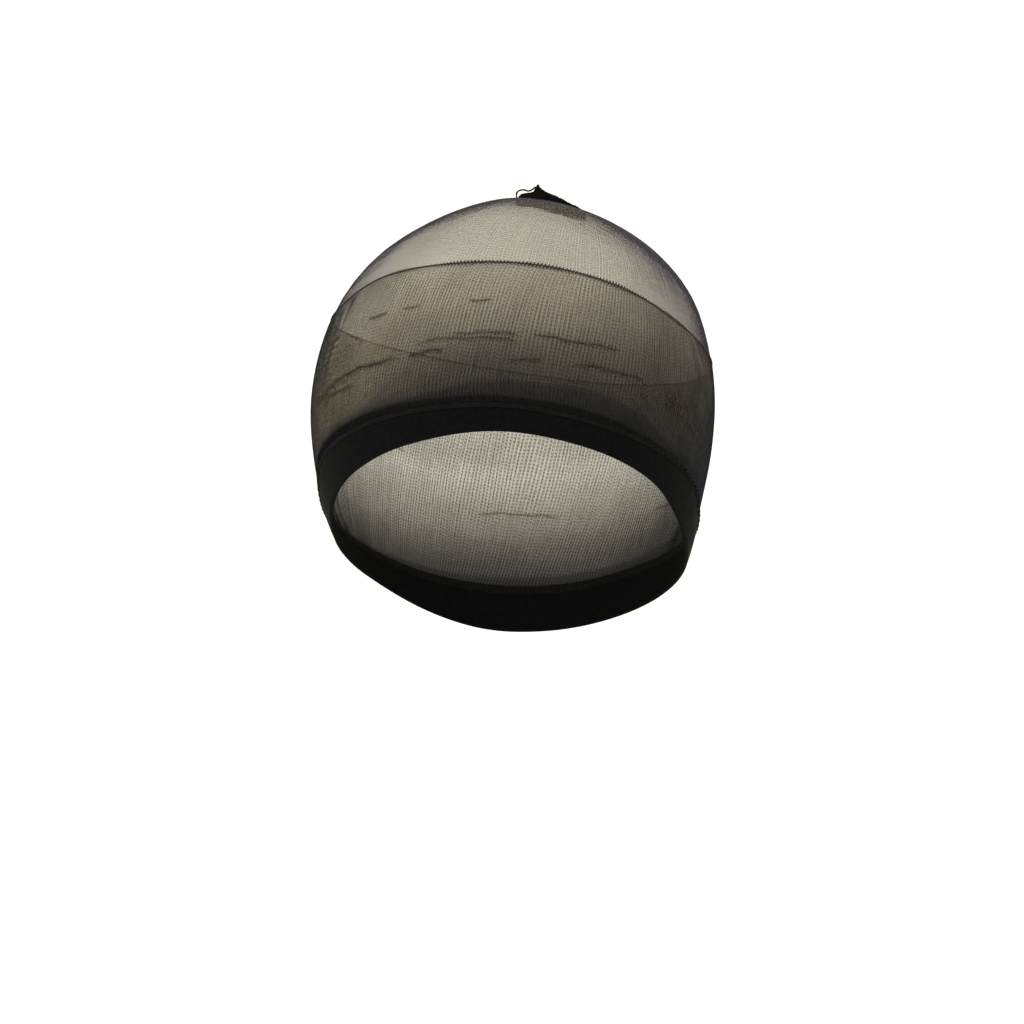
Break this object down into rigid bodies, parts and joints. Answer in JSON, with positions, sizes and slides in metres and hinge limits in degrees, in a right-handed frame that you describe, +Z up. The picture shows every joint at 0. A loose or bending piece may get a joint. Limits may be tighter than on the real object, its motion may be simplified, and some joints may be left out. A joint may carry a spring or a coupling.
{
  "type": "stocking wig cap",
  "caption": "Sheer stretch-knit wig cap with a doubled welt, an elastic band round the opening and a gathered closure on the crown.",
  "frame": {"origin": "inside of the crown's top, where the crown rests on a head", "axes": "+Z up through the crown, -Y toward the forehead, +X toward the wearer's left"},
  "size_m": [0.1571, 0.1932, 0.1785],
  "materials": {
    "single_knit": "sheer single-layer nylon knit, black, seen as taupe where it is stretched thin",
    "doubled_knit": "sheer doubled nylon knit, black",
    "dense_course": "dense raised knit course, black, matte",
    "seam_thread": "overlocked stitches over the knit's cut edge, black, matte",
    "elastic": "smooth elastic band, black, satin",
    "gathered_knit": "gathered and sewn knit, black, matte",
    "sewing_thread": "sewing thread, black"
  },
  "bodies": {
    "root": {"sheer_crown": "single_knit", "double_welt": "doubled_knit", "transfer_course": "dense_course", "band_seam": "seam_thread", "elastic_band": "elastic", "crown_closure": "gathered_knit", "thread_loop": "sewing_thread"}
  },
  "joints": []
}
